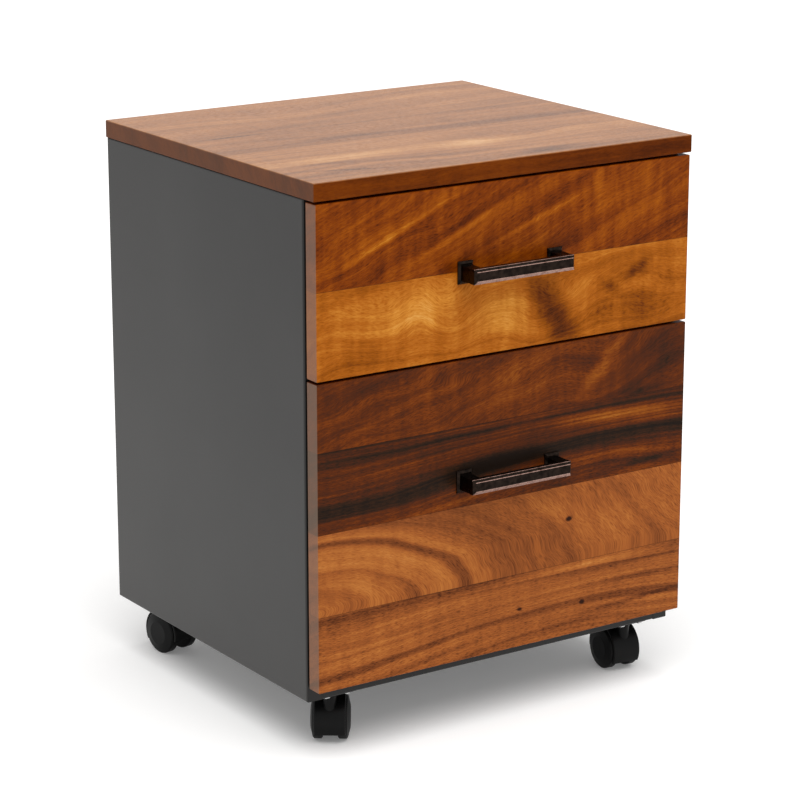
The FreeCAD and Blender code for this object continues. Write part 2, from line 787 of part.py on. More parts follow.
def caster_wheel(name, hand):
    """A wheel with eased tread edges, a domed outer face and a blind bore."""
    tread_end = wheel_outside - dim.wheel_dome
    bore = dim.axle_radius + dim.axle_clearance
    rim = dim.wheel_radius - dim.wheel_easing
    profile = [
        (hub_inside, bore), (hub_inside, dim.hub_radius), (wheel_inside, dim.hub_radius), (wheel_inside, rim),
        (wheel_inside + dim.wheel_easing, dim.wheel_radius), (tread_end - dim.wheel_easing, dim.wheel_radius),
        (tread_end, rim), (wheel_outside, dim.wheel_cap_radius), (wheel_outside, size_of(0)),
        (axle_end + dim.hub_gap, size_of(0)), (axle_end + dim.hub_gap, bore),
    ]
    return revolved(name, [(reach * hand, radius) for reach, radius in profile])


def caster_axle(name):
    return revolved(name, [(-axle_end, size_of(0)), (axle_end, size_of(0)), (axle_end, dim.axle_radius),
                           (-axle_end, dim.axle_radius)])


def casters():
    for corner, spot in caster_spots.items():
        place_caster_piece(caster_hood(f"{corner}_caster_hood"), spot)
        place_caster_piece(caster_axle(f"{corner}_caster_axle"), spot)
        # seen along the way the caster trails, its left is +Y
        for side, hand in (("left", 1), ("right", -1)):
            place_caster_piece(caster_wheel(f"{corner}_caster_{side}_wheel", hand), spot)


def caster_mountings():
    """Plates under the base, each with its king pin and four screws."""
    plates, pins = [], []
    half = dim.plate_width / 2
    for corner, (x, y, heading) in caster_spots.items():
        plate = new_body(f"{corner}_plate")
        block(plate, (x - half, x + half), (y - half, y + half), (plate_bottom_z, case_floor_z))
        spacing = dim.plate_hole_spacing / 2
        spots = [(x + spacing * across, y + spacing * along) for across in (-1, 1) for along in (-1, 1)]
        drill(plate, "XY_Plane", case_floor_z, spots, dim.screw_radius + dim.screw_clearance,
              dim.plate_thickness, upwards=False)
        plates.append(plate)
        pin = doc.addObject("Part::Fuse", f"{corner}_king_pin")
        pin.Base = cylinder(dim.collar_radius, dim.collar_height, (x, y, plate_bottom_z - dim.collar_height))
        pin.Tool = cylinder(dim.king_pin_radius, plate_bottom_z - king_pin_end_z, (x, y, king_pin_end_z))
        pins.append(pin)
    group("caster_plates", plates)
    group("caster_king_pins", pins)
    reach = dim.plate_thickness + dim.case_sheet + dim.plate_screw_reach
    group("caster_plate_screws", [screw((x, y, plate_bottom_z), UPWARDS, dim.screw_radius, reach)
                                  for x, y in plate_hole_spots])


# The whole pedestal

def build():
    case_panels()
    runner_uprights("left_runner_uprights", LEFT)
    runner_uprights("right_runner_uprights", RIGHT)
    wood_top()
    front_bumpers()
    slide_pair("upper", upper_slide_z)
    slide_pair("lower", lower_slide_z)
    drawer("upper", upper_front_z, dim.upper_front_height, upper_tray_z, dim.upper_tray_height,
           upper_front_z + dim.upper_front_height / 2)
    drawer("lower", lower_front_z, dim.lower_front_height, lower_tray_z, dim.lower_tray_height,
           lower_front_z + dim.lower_front_height - dim.lower_pull_drop)
    file_rail("left_file_rail", LEFT)
    file_rail("right_file_rail", RIGHT)
    caster_mountings()
    casters()
    doc.recompute()


def check():
    for item in doc.Objects:
        if "Invalid" in item.State or "Error" in item.State:
            raise RuntimeError(f"{item.Label} failed to build")
    for item in nodes:
        if item.Shape.isNull() or not item.Shape.isValid():
            raise RuntimeError(f"{item.Label} has no valid shape")


def export():
    os.makedirs("parts", exist_ok=True)
    for item in nodes:
        item.Shape.exportStep(f"parts/{item.Label}.step")
    print(len(nodes), "nodes written")


build()
check()
export()
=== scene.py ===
import math

import bmesh
import bpy
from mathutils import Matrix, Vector


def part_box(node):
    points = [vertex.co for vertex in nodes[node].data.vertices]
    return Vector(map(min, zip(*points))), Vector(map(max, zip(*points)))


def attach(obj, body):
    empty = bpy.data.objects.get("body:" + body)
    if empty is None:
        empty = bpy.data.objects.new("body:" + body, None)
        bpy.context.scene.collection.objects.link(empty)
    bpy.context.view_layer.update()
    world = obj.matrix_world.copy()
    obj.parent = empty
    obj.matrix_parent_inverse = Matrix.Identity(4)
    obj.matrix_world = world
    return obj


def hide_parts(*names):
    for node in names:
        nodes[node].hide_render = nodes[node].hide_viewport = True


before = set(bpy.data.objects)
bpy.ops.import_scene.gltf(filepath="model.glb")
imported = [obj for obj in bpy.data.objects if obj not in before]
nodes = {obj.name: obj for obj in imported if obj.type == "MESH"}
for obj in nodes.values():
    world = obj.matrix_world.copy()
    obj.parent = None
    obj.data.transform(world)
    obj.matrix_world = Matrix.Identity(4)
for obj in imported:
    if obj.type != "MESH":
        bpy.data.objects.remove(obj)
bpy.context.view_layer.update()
mm = 0.001


def linear(hexColour):  # sRGB hex to the linear colour that sockets take
    channels = [int(hexColour[i:i + 2], 16) / 255 for i in (1, 3, 5)]
    return [c / 12.92 if c <= 0.04045 else ((c + 0.055) / 1.055) ** 2.4 for c in channels] + [1.0]


def addNode(tree, kind, inputs=(), stops=(), **settings):
    node = tree.nodes.new(kind)
    for name, value in settings.items():
        setattr(node, name, value)
    for socket, value in dict(inputs).items():  # another node's output is linked, anything else is set
        if isinstance(value, bpy.types.NodeSocket):
            tree.links.new(value, node.inputs[socket])
        else:
            node.inputs[socket].default_value = value
    for i, (place, colour) in enumerate(stops):  # a colour ramp starts with two stops
        element = node.color_ramp.elements[i] if i < 2 else node.color_ramp.elements.new(1.0)
        element.position = place
        element.color = colour
    return node


def addMath(tree, operation, *values):
    return addNode(tree, "ShaderNodeMath", dict(enumerate(values)), operation=operation).outputs[0]


def addMix(tree, share, first, second, blend="MIX"):  # of two colours
    return addNode(tree, "ShaderNodeMix", {0: share, 6: first, 7: second},
                   data_type="RGBA", blend_type=blend).outputs[2]


def addNoise(tree, place, scale, detail):
    return addNode(tree, "ShaderNodeTexNoise", {"Vector": place, "Scale": scale, "Detail": detail}).outputs[0]


def addBump(tree, shader, height, strength, depth, **settings):
    bump = addNode(tree, "ShaderNodeBump", {"Height": height, "Strength": strength, "Distance": depth * mm}, **settings)
    tree.links.new(bump.outputs[0], shader.inputs["Normal"])


def newMaterial(name, finish):
    material = bpy.data.materials.new(name)
    material.use_nodes = True
    shader = material.node_tree.nodes["Principled BSDF"]
    for socket, value in finish.items():
        shader.inputs[socket].default_value = value
    return material, material.node_tree, shader


def dress(material, *names):  # a better finish on CAD nodes that keep their shape
    for name in names:
        nodes[name].data.materials.clear()
        nodes[name].data.materials.append(material)


# Oiled acacia boards, glued up from wide staves: amber sapwood beside near-black heart, with swirls, a
# cathedral and a few pin knots. Lengths are millimetres in the object's own frame. A stave's growth layers
# climb by flow along and across it and by lean into it, and wander over a length and a width by a sway. Layers
# gives their tones in the palette. A swirl or cathedral bends the layers and a cloud lightens or darkens them:
# (along, across, half length, half width, tilt, amount). Lines, broad, ripple, flecks and pores are how
# strongly each kind of grain shows.
amber = [(0.0, "#2A1307"), (0.2, "#562A10"), (0.4, "#82461F"), (0.58, "#A15A27"), (0.75, "#B87133"), (1.0, "#D69A58")]
golden = [(0.0, "#321301"), (0.2, "#662E02"), (0.4, "#8F4A02"), (0.57, "#AC5E12"), (0.8, "#CC842E"), (1.0, "#E4AC5C")]
russet = [(0.0, "#2E1000"), (0.2, "#592200"), (0.4, "#7F3800"), (0.6, "#9D5004"), (0.8, "#BC721A"), (1.0, "#D89C4A")]
tan = [(0.0, "#2A1A0C"), (0.2, "#563416"), (0.4, "#83522C"), (0.58, "#A26A3B"), (0.75, "#BA824D"), (1.0, "#D8A973")]
heart = [(0.0, "#1A110B"), (0.16, "#2F1C0F"), (0.3, "#43200F"), (0.45, "#5A2809"), (0.6, "#76370A"),
         (0.8, "#965214"), (1.0, "#B4742E")]

upperFront = {
    "node": "upper_drawer_front", "across": "Z", "through": "Y", "face": -166.5, "inward": 1,
    "ior": 1.15, "edge": "#E0D4C8", "endGrainAndSheen": "#907A6A",
    "glueLines": [419.9],
    "staves": [
        {
            "flow": (-0.04, 1.0), "lean": 0.5, "seed": 4.0, "palette": golden,
            "wander": (70, 30, 22), "lines": 0.26, "broad": 0.3, "ripple": 0.34, "flecks": 0.24, "pores": 0.16,
            "layers": [(335, 0.5), (346, 0.58), (356, 0.5), (366, 0.62), (376, 0.56), (388, 0.66), (400, 0.6),
                       (410, 0.64), (425, 0.56)],
            "swirls": [(-136, 387, 50, 34, 0, 8), (-62, 382, 40, 50, 30, 16), (43, 372, 60, 44, 40, 14),
                       (130, 395, 60, 40, 20, -16)],
            "clouds": [(-95, 392, 66, 32, 12, 0.22), (-6, 372, 40, 36, 20, 0.22), (43, 374, 24, 70, 32, -0.42),
                       (62, 362, 20, 46, 26, -0.16), (140, 398, 30, 8, 30, -0.22), (112, 384, 22, 9, -30, -0.22),
                       (150, 386, 26, 12, 10, 0.14), (-160, 356, 70, 26, 10, -0.1), (150, 366, 80, 60, 0, -0.12),
                       (110, 408, 110, 22, 0, -0.14), (-165, 412, 60, 10, 8, -0.14)],
        },
        {
            "flow": (-0.4, 1.0), "lean": 0.5, "seed": 9.0, "palette": russet,
            "wander": (90, 30, 14), "lines": 0.3, "broad": 0.46, "ripple": 0.48, "flecks": 0.24, "pores": 0.2,
            "layers": [(330, 0.42), (372, 0.36), (392, 0.48), (412, 0.36), (432, 0.46), (450, 0.34), (470, 0.48),
                       (490, 0.36), (512, 0.48), (532, 0.4), (570, 0.44)],
            "swirls": [(-60, 455, 70, 30, 18, 8)],
            "clouds": [(-125, 458, 90, 5, 24, 0.26), (-45, 458, 90, 5, 24, 0.22), (25, 455, 90, 5, 20, 0.26),
                       (-165, 470, 50, 5, 26, 0.2), (130, 458, 70, 44, 0, 0.08), (-20, 474, 100, 7, 22, -0.12),
                       (60, 478, 60, 8, 22, -0.1), (96, 480, 9, 40, 0, 0.12), (150, 476, 9, 44, 0, 0.12),
                       (122, 470, 8, 40, 0, -0.1)],
        },
    ],
}
lowerFront = {
    "node": "lower_drawer_front", "across": "Z", "through": "Y", "face": -166.5, "inward": 1,
    "ior": 1.15, "edge": "#E0D4C8", "endGrainAndSheen": "#907A6A",
    "glueLines": [134.3, 208.4, 281.0],
    "staves": [
        {
            "flow": (0.0, 1.0), "lean": 0.6, "seed": 2.0, "palette": amber,
            "wander": (120, 30, 8), "lines": 0.42, "broad": 0.34, "ripple": 0.24, "flecks": 0.24, "pores": 0.3,
            "layers": [(30, 0.5), (44, 0.58), (52, 0.48), (58, 0.6), (63, 0.5), (69, 0.62), (72, 0.42), (76, 0.28),
                       (80, 0.54), (86, 0.62), (92, 0.5), (98, 0.6), (106, 0.54), (112, 0.6), (117, 0.54),
                       (120, 0.42), (122, 0.56), (124, 0.5), (127, 0.38), (132, 0.32), (137, 0.46), (150, 0.5)],
            "swirls": [(60, 80, 290, 70, 0, -24)],
            "clouds": [(-130, 92, 110, 22, 0, 0.1), (150, 86, 80, 4, 2, -0.26), (160, 108, 90, 4, -2, -0.22),
                       (110, 124, 120, 5, -1, -0.14), (60, 76, 80, 8, 4, -0.12), (100, 131, 160, 9, 0, 0.34),
                       (14.8, 100.9, 4, 2.6, 0, -0.7), (84.8, 94.2, 4, 3, 0, -0.8)],
        },
        {
            "flow": (0.0, 0.12), "lean": 0.6, "seed": 5.0, "palette": amber,
            "wander": (110, 40, 26), "lines": 0.2, "broad": 0.3, "ripple": 0.24, "flecks": 0.24, "pores": 0.24,
            "cathedral": [(-205, 138, 600, 240, 0, -420)],
            "layers": [(-420, 0.58), (-392, 0.64), (-374, 0.5), (-358, 0.64), (-342, 0.56), (-336, 0.46),
                       (-328, 0.62), (-312, 0.66), (-298, 0.58), (-293, 0.34), (-288, 0.42), (-284, 0.64),
                       (-279, 0.68), (-272, 0.54), (-262, 0.46), (-240, 0.44), (-225, 0.52), (-210, 0.46),
                       (-195, 0.56), (-170, 0.6), (-150, 0.54), (-136, 0.48), (-125, 0.58), (-100, 0.6),
                       (-60, 0.54)],
            "swirls": [(120, 172, 130, 70, 0, 10)],
            "clouds": [(40, 190, 50, 18, -20, 0.14), (20, 156, 70, 30, -24, -0.02), (125, 166, 70, 30, 0, 0.1),
                       (68.5, 176.3, 5, 3.4, 0, -0.9), (-150, 168, 100, 40, -10, 0.1)],
        },
        {
            "flow": (0.0, 1.0), "lean": 0.6, "seed": 7.0, "palette": heart,
            "wander": (140, 26, 8), "lines": 0.6, "broad": 0.34, "ripple": 0.24, "flecks": 0.24, "pores": 0.2,
            "layers": [(180, 0.5), (208, 0.48), (214, 0.46), (219, 0.34), (223, 0.14), (229, 0.06), (233, 0.2),
                       (238, 0.38), (243, 0.36), (256, 0.4), (263, 0.42), (267, 0.24), (270, 0.16), (273, 0.38),
                       (277, 0.36), (280, 0.18), (290, 0.2)],
            "swirls": [(100, 238, 300, 60, 0, -22)],
            # The dark cloud at (-12, 243), just above and behind the pull, is partly a dark streak in the wood and
            # partly painted shade of the pull
            "clouds": [(135, 264, 130, 13, -4, 0.36), (-12, 243, 76, 13, 4, -0.26), (20, 275, 50, 5, 6, 0.16),
                       (-20, 262, 80, 8, 6, 0.1), (150, 217, 80, 5, 5, -0.22), (110, 229, 90, 9, 0, 0.16),
                       (-110, 258, 90, 10, 4, 0.06)],
        },
        {
            "flow": (-0.25, 1.0), "lean": 0.6, "seed": 21.0, "palette": heart,
            "wander": (80, 30, 24), "lines": 0.26, "broad": 0.32, "ripple": 0.3, "flecks": 0.24, "pores": 0.18,
            "layers": [(215, 0.44), (250, 0.5), (262, 0.44), (275, 0.52), (288, 0.46), (300, 0.54), (312, 0.46),
                       (325, 0.54), (338, 0.46), (352, 0.52), (370, 0.46), (400, 0.48)],
            "swirls": [(-60, 304, 70, 30, 10, 12), (110, 312, 80, 60, 40, 18)],
            "clouds": [(104, 314, 54, 14, 44, 0.3), (165, 308, 62, 36, 30, -0.2), (152, 305, 30, 13, 30, 0.12),
                       (10, 312, 66, 36, 20, 0.16), (-120, 306, 90, 6, 17, 0.14), (-62, 318, 70, 6, 14, 0.12),
                       (150, 284, 60, 6, 0, -0.14), (-150, 332, 70, 10, 10, -0.1)],
        },
    ],
}
topBoard = {
    "node": "wood_top", "across": "Y", "through": "Z", "face": 512.8, "inward": -1,
    "ior": 1.34, "edge": "#AC7C1A", "endGrainAndSheen": "#624C3E",
    "glueLines": [-21.0, 53.5],
    "staves": [
        {
            "flow": (0.02, 1.0), "lean": 0.6, "seed": 12.0, "palette": tan,
            "wander": (120, 30, 14), "lines": 0.3, "broad": 0.46, "ripple": 0.14, "flecks": 0.24, "pores": 0.1,
            "layers": [(-180, 0.56), (-150, 0.5), (-135, 0.58), (-120, 0.5), (-100, 0.6), (-80, 0.66), (-62, 0.56),
                       (-40, 0.6), (-10, 0.56)],
            "swirls": [(60, -90, 90, 40, 0, 18), (-120, -120, 90, 40, 0, -14)],
            "clouds": [(22, -88, 74, 26, 5, 0.26), (-120, -86, 95, 18, 2, 0.18), (55, -148, 55, 14, 4, -0.24),
                       (-140, -100, 55, 9, -8, -0.2), (-150, -130, 60, 5, -18, -0.2), (-20, -172, 80, 9, 0, 0.16),
                       (-130, -172, 26, 8, 0, -0.14), (-175, -172, 30, 8, 0, 0.14), (80, -172, 20, 8, 0, -0.12),
                       (165, -172, 60, 9, 0, -0.12)],
        },
        {
            "flow": (0.0, 1.0), "lean": 0.6, "seed": 15.0, "palette": tan,
            "wander": (120, 26, 10), "lines": 0.22, "broad": 0.34, "ripple": 0.14, "flecks": 0.24, "pores": 0.1,
            "layers": [(-35, 0.48), (-8, 0.42), (6, 0.56), (20, 0.5), (36, 0.56), (50, 0.48), (70, 0.52)],
            "swirls": [(-60, 12, 110, 26, 0, 10)],
            "clouds": [(-60, 0, 85, 9, 0, -0.2), (-150, 50, 55, 4, 0, -0.26), (110, 20, 70, 14, 0, 0.1)],
        },
        {
            "flow": (-0.03, 1.0), "lean": 0.6, "seed": 18.0, "palette": tan,
            "wander": (140, 40, 16), "lines": 0.22, "broad": 0.34, "ripple": 0.14, "flecks": 0.24, "pores": 0.1,
            "layers": [(40, 0.56), (70, 0.5), (90, 0.6), (110, 0.52), (130, 0.62), (150, 0.52), (170, 0.6),
                       (205, 0.56)],
            "swirls": [(-40, 120, 120, 50, 0, 20), (120, 150, 90, 40, 0, -14)],
            "clouds": [(0, 100, 90, 14, 6, -0.1), (100, 140, 80, 16, 0, 0.1)],
        },
    ],
}

# What all the boards share: lengths of each kind of grain along, across and through the layers, open pores
# # (about 0.2 mm wide, drawn wider to show), dark glue seams, edges that drink more oil, and ends drawn paler and
# greyer, partly end grain and partly a painted sheen
acacia = {
    "grain": {"lines": (240, 2.6, 6), "broad": (170, 10, 20), "ripple": (13, 55, 55), "flecks": (6, 1.4, 3)},
    "poreLengths": (5, 0.5, 0.5), "poreRange": (0.48, 0.72), "poreBump": 0.3, "poreDepth": 0.1, "poreRoughness": 0.2,
    "roughness": 0.34, "seam": "#1C0E08", "seamHalfWidth": 0.3, "seamShare": 0.45,
    "edgeDepth": (0.2, 1.0), "edgeIor": 1.12, "endSheenFacing": (0.6, 0.9), "endSheenShare": 0.5,
}


def addMarks(tree, total, marks, place, fall="SMOOTHSTEP"):  # soft ovals that reach deep into the board
    for along, across, halfLength, halfWidth, tilt, amount in marks:
        spot = addNode(tree, "ShaderNodeMapping", {
            "Vector": place, "Location": (along, across, 0), "Rotation": (0, 0, math.radians(tilt)),
            "Scale": (halfLength, halfWidth, 4 * halfLength)}, vector_type="TEXTURE").outputs[0]
        dome = addNode(tree, "ShaderNodeTexGradient", {0: spot}, gradient_type="SPHERICAL").outputs[1]
        raised = addNode(tree, "ShaderNodeMapRange", {"Value": dome, "To Max": amount},
                         interpolation_type=fall).outputs[0]
        total = addMath(tree, "ADD", total, raised)
    return total


def addStretched(tree, place, lengths, detail, seed=0):
    spot = addNode(tree, "ShaderNodeMapping", {
        "Vector": place, "Location": (seed, seed, 0), "Scale": [1 / length for length in lengths]}).outputs[0]
    return addNoise(tree, spot, 1.0, detail)


def addGrain(tree, tone, place, lengths, amount, seed, detail=2.0):  # lightens as much as it darkens
    noise = addStretched(tree, place, lengths, detail, seed)
    return addMath(tree, "ADD", tone, addMath(tree, "MULTIPLY_ADD", noise, amount, -amount / 2))


def addStave(tree, stave, along, across, through):
    place = addNode(tree, "ShaderNodeCombineXYZ", {0: along, 1: across, 2: through}).outputs[0]
    flow = (*stave["flow"], stave["lean"])
    straight = addNode(tree, "ShaderNodeVectorMath", {0: place, 1: flow}, operation="DOT_PRODUCT").outputs["Value"]
    drift, spread, sway = stave["wander"]
    wandering = addGrain(tree, straight, place, (drift, spread, spread), sway, stave["seed"], detail=1.0)
    layer = addMarks(tree, wandering, stave["swirls"], place)
    layer = addMarks(tree, layer, stave.get("cathedral", []), place, "LINEAR")

    first, last = stave["layers"][0][0], stave["layers"][-1][0]
    ringPlace = addNode(tree, "ShaderNodeMapRange", {"Value": layer, "From Min": first, "From Max": last}).outputs[0]
    rings = addNode(tree, "ShaderNodeValToRGB", {0: ringPlace}, [
        ((level - first) / (last - first), (tone, tone, tone, 1.0)) for level, tone in stave["layers"]]).outputs[0]
    tone = addMarks(tree, rings, stave["clouds"], place)

    grainPlace = addNode(tree, "ShaderNodeCombineXYZ", {0: along, 1: layer, 2: through}).outputs[0]
    for i, (kind, lengths) in enumerate(acacia["grain"].items()):  # each from its own part of the noise
        tone = addGrain(tree, tone, grainPlace, lengths, stave[kind], stave["seed"] + 30 + 20 * i)
    shallow, deep = acacia["poreRange"]
    pores = addNode(tree, "ShaderNodeMapRange", {
        "Value": addStretched(tree, grainPlace, acacia["poreLengths"], detail=1.0),
        "From Min": shallow, "From Max": deep}).outputs[0]
    tone = addMath(tree, "MULTIPLY_ADD", pores, -stave["pores"], tone)
    colour = addNode(tree, "ShaderNodeValToRGB", {0: tone}, [
        (level, linear(hexColour)) for level, hexColour in stave["palette"]]).outputs[0]
    return colour, pores


def acaciaMaterial(board):
    material, tree, shader = newMaterial("oiledAcacia_" + board["node"], {})
    spot = addNode(tree, "ShaderNodeTexCoord").outputs["Object"]
    millimetres = addNode(tree, "ShaderNodeVectorMath", {0: spot, 1: (1 / mm, 1 / mm, 1 / mm)},
                          operation="MULTIPLY").outputs[0]
    axes = addNode(tree, "ShaderNodeSeparateXYZ", {0: millimetres}).outputs
    along, across = axes["X"], axes[board["across"]]
    through = addMath(tree, "MULTIPLY_ADD", axes[board["through"]], board["inward"], -board["face"] * board["inward"])
    colour, pores = addStave(tree, board["staves"][0], along, across, through)
    for glueLine, stave in zip(board["glueLines"], board["staves"][1:]):
        nextColour, nextPores = addStave(tree, stave, along, across, through)
        above = addMath(tree, "GREATER_THAN", across, glueLine)
        colour = addMix(tree, above, colour, nextColour)
        pores = addNode(tree, "ShaderNodeMix", {0: above, 2: pores, 3: nextPores}).outputs[0]
        seam = addMath(tree, "COMPARE", across, glueLine, acacia["seamHalfWidth"])
        colour = addMix(tree, addMath(tree, "MULTIPLY", seam, acacia["seamShare"]), colour, linear(acacia["seam"]))

    low, high = acacia["edgeDepth"]
    edge = addNode(tree, "ShaderNodeMapRange", {"Value": through, "From Min": low, "From Max": high}).outputs[0]
    colour = addMix(tree, edge, colour, linear(board["edge"]), "MULTIPLY")
    film = addNode(tree, "ShaderNodeMapRange", {
        "Value": edge, "To Min": board["ior"], "To Max": acacia["edgeIor"]}).outputs[0]
    tree.links.new(film, shader.inputs["IOR"])
    # Painted sheen: faces that look along X are mixed towards the pale, greyish end colour, partly the end grain's own
    # tone and partly a painted sheen
    facing = addNode(tree, "ShaderNodeNewGeometry").outputs["Normal"]
    sideways = addNode(tree, "ShaderNodeVectorMath", {0: facing}, operation="ABSOLUTE").outputs[0]
    endwise = addNode(tree, "ShaderNodeSeparateXYZ", {0: sideways}).outputs["X"]
    low, high = acacia["endSheenFacing"]
    endGrainAndSheen = addNode(tree, "ShaderNodeMapRange", {
        "Value": endwise, "From Min": low, "From Max": high, "To Max": acacia["endSheenShare"]}).outputs[0]
    colour = addMix(tree, endGrainAndSheen, colour, linear(board["endGrainAndSheen"]))
    tree.links.new(colour, shader.inputs["Base Color"])
    roughness = addMath(tree, "MULTIPLY_ADD", pores, acacia["poreRoughness"], acacia["roughness"])
    tree.links.new(roughness, shader.inputs["Roughness"])
    addBump(tree, shader, pores, acacia["poreBump"], acacia["poreDepth"], invert=True)
    return material


for board in (upperFront, lowerFront, topBoard):
    dress(acaciaMaterial(board), board["node"])
print("acacia boards")

# Polyester powder coat, baked on the folded steel: half gloss with fine orange peel and a charcoal with random
# blotches. The charcoal
# # is painted paler low down as a painted reflection of the bright floor, and what faces forward round the drawers is
# painted black as painted shade
paint = {"ior": 1.38, "peelBump": 0.12, "peelDepth": 0.2, "glossSpread": 0.14, "driftScale": 9.0, "driftShare": 0.25,
         "lowest": 0.12, "highest": 0.62, "shadedFrontFacing": (-0.6, -0.9), "front": "#0B0B0A"}


def powderCoat(name, floorReflectionLowHex, highHex, roughness, peel):
    material, tree, shader = newMaterial(name, {"IOR": paint["ior"]})
    spot = addNode(tree, "ShaderNodeTexCoord").outputs["Object"]
    pebbles = addNoise(tree, spot, 1 / (peel * mm), detail=2.0)
    addBump(tree, shader, pebbles, paint["peelBump"], paint["peelDepth"])
    gloss = addMath(tree, "MULTIPLY_ADD", pebbles, paint["glossSpread"], roughness - paint["glossSpread"] / 2)
    tree.links.new(gloss, shader.inputs["Roughness"])
    # Painted reflection: from lowest to highest the colour runs from the paler low colour to the darker high one,
    # standing in for the bright floor reflected low down
    height = addNode(tree, "ShaderNodeSeparateXYZ", {0: spot}).outputs["Z"]
    drift = addNoise(tree, spot, paint["driftScale"], detail=3.0)
    driftAndReflectionHeight = addMath(tree, "MULTIPLY_ADD", drift, paint["driftShare"], height)
    blotchesAndPaintedReflection = addNode(tree, "ShaderNodeValToRGB", {0: driftAndReflectionHeight}, [
        (paint["lowest"], linear(floorReflectionLowHex)), (paint["highest"], linear(highHex))]).outputs[0]
    # Painted shade: faces that look forward, such as the recessed strips under the drawer fronts, are blended to the
    # near-black front colour
    facing = addNode(tree, "ShaderNodeNewGeometry").outputs["Normal"]
    forward = addNode(tree, "ShaderNodeSeparateXYZ", {0: facing}).outputs["Y"]
    low, high = paint["shadedFrontFacing"]
    front = addNode(tree, "ShaderNodeMapRange", {"Value": forward, "From Min": low, "From Max": high}).outputs[0]
    tree.links.new(addMix(tree, front, blotchesAndPaintedReflection, linear(paint["front"])), shader.inputs["Base Color"])
    return material


dress(powderCoat("charcoalPowderCoat", "#383736", "#1B1A19", roughness=0.42, peel=1.1),
      "left_side_panel", "right_side_panel", "back_panel", "base_pan", "top_front_rail",
      "left_runner_uprights", "right_runner_uprights")
dress(powderCoat("blackDrawerSteel", "#262727", "#1D1E1E", roughness=0.36, peel=0.8),
      "upper_drawer_tray", "lower_drawer_tray", "upper_tray_ends", "lower_tray_ends", "caster_plates")
print("painted steel")

# Zinc plate on rolled steel: pale blue-grey, soft gloss, drawn lines along the slides and faint spangle
zinc = {"spangleSize": 5, "spangleShare": 0.15, "drawnLine": (0.5, 60, 0.5), "dull": (0.3, "#9EA1A3"),
        "bright": (1.0, "#CDD0D0"), "roughness": 0.24, "roughnessSpread": 0.16}


def zincPlate():
    material, tree, shader = newMaterial("zincPlate", {"Metallic": 1.0})
    spot = addNode(tree, "ShaderNodeTexCoord").outputs["Object"]
    spangle = addNode(tree, "ShaderNodeTexVoronoi", {
        "Vector": spot, "Scale": 1 / (zinc["spangleSize"] * mm)}).outputs["Color"]
    patch = addNode(tree, "ShaderNodeSeparateColor", {0: spangle}).outputs[0]
    scratches = addStretched(tree, spot, [length * mm for length in zinc["drawnLine"]], detail=2.0)
    mixed = addMath(tree, "MULTIPLY_ADD", patch, zinc["spangleShare"], scratches)
    colour = addNode(tree, "ShaderNodeValToRGB", {0: mixed}, [
        (level, linear(hexColour)) for level, hexColour in (zinc["dull"], zinc["bright"])]).outputs[0]
    tree.links.new(colour, shader.inputs["Base Color"])
    rough = addMath(tree, "MULTIPLY_ADD", mixed, zinc["roughnessSpread"], zinc["roughness"])
    tree.links.new(rough, shader.inputs["Roughness"])
    return material


slides = [f"{drawer}_{side}_slide_{member}" for drawer in ("upper", "lower") for side in ("left", "right")
          for member in ("outer", "middle", "inner")]
dress(zincPlate(), "left_file_rail", "right_file_rail", *slides)

# Bright steel, turned or ground: mirror-like, with fine marks that scatter the light a little
bright = {"markSize": 0.8, "dull": (0.3, "#B4B5B6"), "polished": (0.7, "#D6D7D6"),
          "roughness": 0.12, "roughnessSpread": 0.2}


def brightSteel():
    material, tree, shader = newMaterial("brightSteel", {"Metallic": 1.0})
    spot = addNode(tree, "ShaderNodeTexCoord").outputs["Object"]
    fine = addNoise(tree, spot, 1 / (bright["markSize"] * mm), detail=3.0)
    colour = addNode(tree, "ShaderNodeValToRGB", {0: fine}, [
        (level, linear(hexColour)) for level, hexColour in (bright["dull"], bright["polished"])]).outputs[0]
    tree.links.new(colour, shader.inputs["Base Color"])
    rough = addMath(tree, "MULTIPLY_ADD", fine, bright["roughnessSpread"], bright["roughness"])
    tree.links.new(rough, shader.inputs["Roughness"])
    return material


steel = brightSteel()
corners = ["front_left", "front_right", "rear_left", "rear_right"]
dress(steel, "caster_king_pins", *[f"{corner}_caster_axle" for corner in corners],
      *[f"{drawer}_{ring}_ball_cages" for drawer in ("upper", "lower") for ring in ("outer", "inner")])
print("zinc and steel")

# Moulded plastic or rubber: black, a little uneven, with a spark-eroded mould texture
mould = {"ior": 1.22, "gritBump": 0.25, "gritDepth": 0.1, "flowScale": 60.0, "flow": ((0.3, 0.8), (0.7, 1.2))}


def mouldedBlack(name, hexColour, roughness, grit):
    material, tree, shader = newMaterial(name, {"Roughness": roughness, "IOR": mould["ior"]})
    spot = addNode(tree, "ShaderNodeTexCoord").outputs["Object"]
    texture = addNoise(tree, spot, 1 / (grit * mm), detail=2.0)
    addBump(tree, shader, texture, mould["gritBump"], mould["gritDepth"])
    flow = addNoise(tree, spot, mould["flowScale"], detail=2.0)
    colour = addNode(tree, "ShaderNodeValToRGB", {0: flow}, [
        (level, [share * c for c in linear(hexColour)[:3]] + [1.0]) for level, share in mould["flow"]]).outputs[0]
    tree.links.new(colour, shader.inputs["Base Color"])
    return material


dress(mouldedBlack("mouldedNylon", "#080808", roughness=0.38, grit=0.7),
      *[f"{corner}_caster_hood" for corner in corners])
dress(mouldedBlack("wheelPolyurethane", "#070707", roughness=0.46, grit=0.5),
      *[f"{corner}_caster_{side}_wheel" for corner in corners for side in ("left", "right")])
bumperRubber = mouldedBlack("bumperRubber", "#1B1A19", roughness=0.75, grit=0.5)
print("casters")

